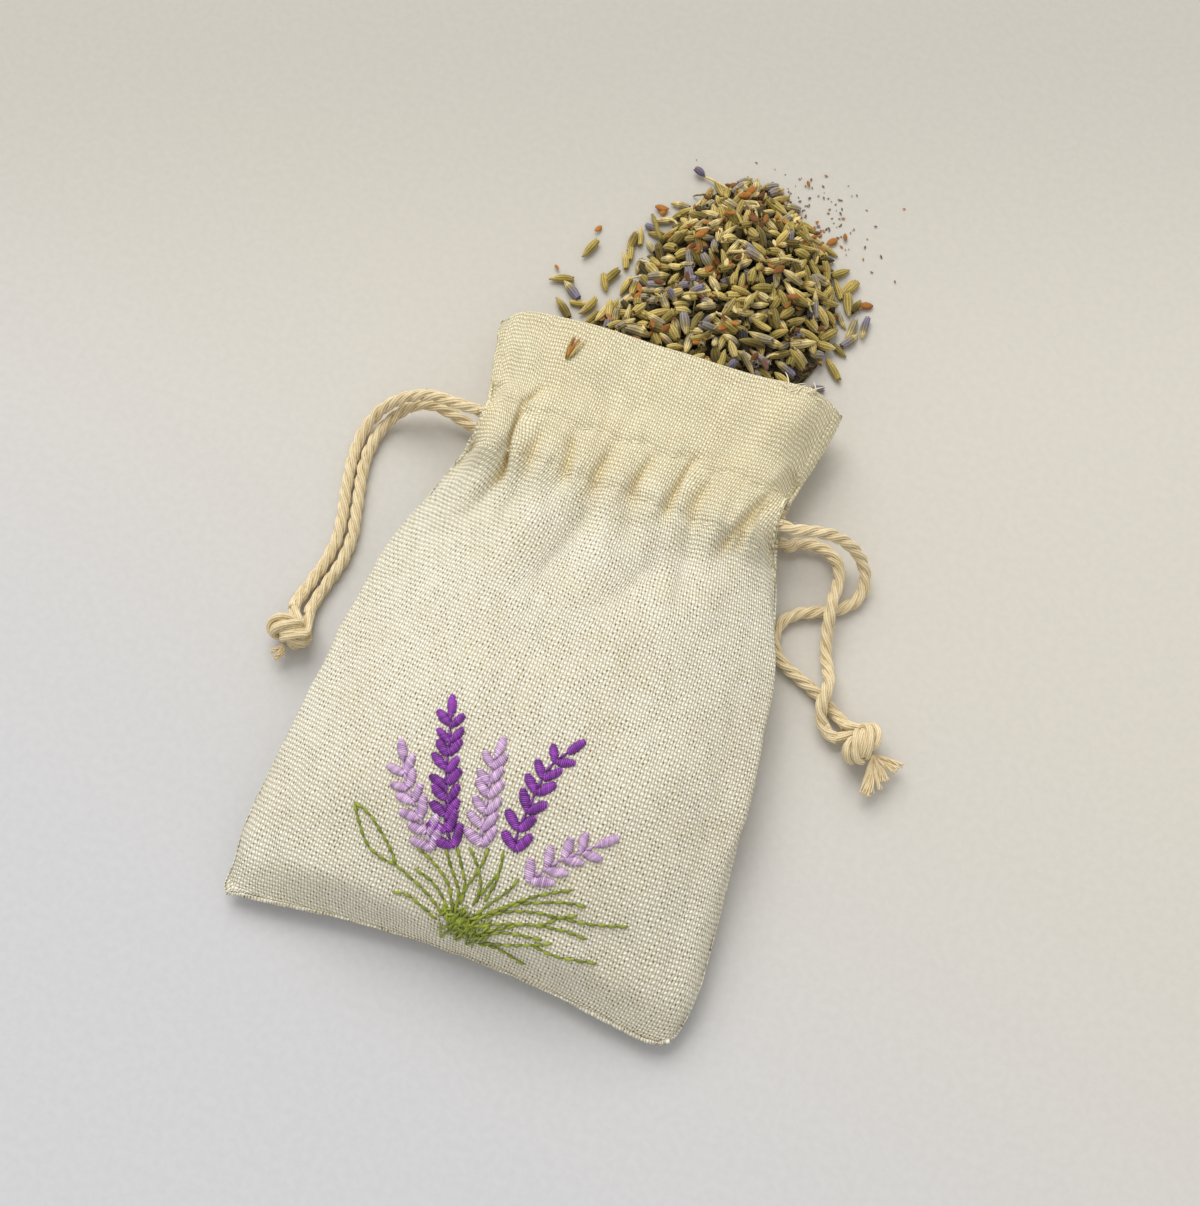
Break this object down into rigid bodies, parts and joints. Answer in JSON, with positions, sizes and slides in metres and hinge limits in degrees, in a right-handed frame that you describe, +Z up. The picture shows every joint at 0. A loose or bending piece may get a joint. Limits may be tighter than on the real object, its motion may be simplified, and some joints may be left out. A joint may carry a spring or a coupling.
{
  "type": "lavender sachet",
  "caption": "Embroidered linen drawstring pouch lying on its back, gathered at the neck, with dried lavender spilling from its mouth. Each string pulls out of the casing at its own side.",
  "frame": {"origin": "on the flat of the back panel that the bag lies on, on its centre line, 65 mm from the bottom seam", "axes": "+Z up out of the embroidered front, +Y along the bag to its mouth, +X to the right seen from the front"},
  "size_m": [0.1377, 0.195, 0.0262],
  "materials": {
    "linen": "plain weave, matte",
    "cotton_cord": "twisted cotton, matte",
    "lilac_thread": "satin",
    "purple_thread": "satin",
    "green_thread": "satin",
    "dried_lavender": "dry, matte",
    "dried_stalk": "dry, matte"
  },
  "bodies": {
    "bag": {"front_panel": "linen", "back_panel": "linen", "left_side_seam": "linen", "right_side_seam": "linen", "bottom_seam": "linen", "lavender_filling": "dried_lavender", "mouth_lavender": "dried_lavender", "spilled_lavender": "dried_lavender", "loose_bud_1": "dried_lavender", "loose_bud_2": "dried_lavender", "loose_bud_3": "dried_lavender", "loose_bud_4": "dried_lavender", "loose_bud_5": "dried_lavender", "loose_bud_6": "dried_lavender", "loose_bud_7": "dried_lavender", "loose_bud_8": "dried_lavender", "left_lilac_sprig": "lilac_thread", "middle_lilac_sprig": "lilac_thread", "right_lilac_sprig": "lilac_thread", "left_purple_sprig": "purple_thread", "right_purple_sprig": "purple_thread", "green_stems_and_leaves": "green_thread", "bit_on_header": "dried_stalk", "left_string_return_bend": "cotton_cord", "right_string_return_bend": "cotton_cord"},
    "left_drawstring": {"left_string_front_run": "cotton_cord", "left_string_back_run": "cotton_cord", "left_string_front_tail": "cotton_cord", "left_string_back_tail": "cotton_cord", "left_string_knot": "cotton_cord", "left_string_yarn_ends": "cotton_cord"},
    "right_drawstring": {"right_string_front_run": "cotton_cord", "right_string_back_run": "cotton_cord", "right_string_front_tail": "cotton_cord", "right_string_back_tail": "cotton_cord", "right_string_knot": "cotton_cord", "right_string_yarn_ends": "cotton_cord"}
  },
  "joints": [
    {"name": "left_drawstring_pull", "type": "slide", "parent": "bag", "child": "left_drawstring", "axis": [-1, 0, 0], "range_m": [0, 0.04]},
    {"name": "right_drawstring_pull", "type": "slide", "parent": "bag", "child": "right_drawstring", "axis": [1, 0, 0], "range_m": [0, 0.04]}
  ]
}
